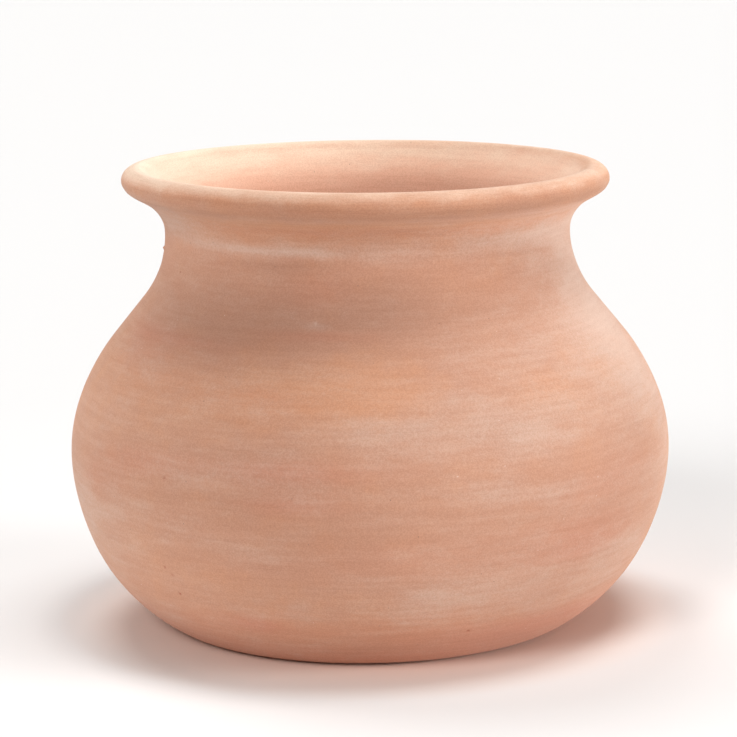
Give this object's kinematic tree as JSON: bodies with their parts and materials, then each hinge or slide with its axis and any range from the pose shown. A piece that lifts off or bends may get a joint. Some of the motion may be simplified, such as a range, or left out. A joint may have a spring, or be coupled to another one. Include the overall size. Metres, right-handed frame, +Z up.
{
  "type": "terracotta pot",
  "caption": "Round-bellied unglazed terracotta plant pot with a drawn-in neck, a flared throat and a rolled rim, open at the top, with a drain hole in its flat base.",
  "frame": {"origin": "centre of the flat base, on the surface that the pot stands on", "axes": "+Z up the throwing axis towards the open mouth; +X and +Y are any two level directions, because the pot is round"},
  "size_m": [0.3, 0.3, 0.2293],
  "materials": {
    "terracotta": "matte"
  },
  "bodies": {
    "root": {"pot": "terracotta"}
  },
  "joints": []
}
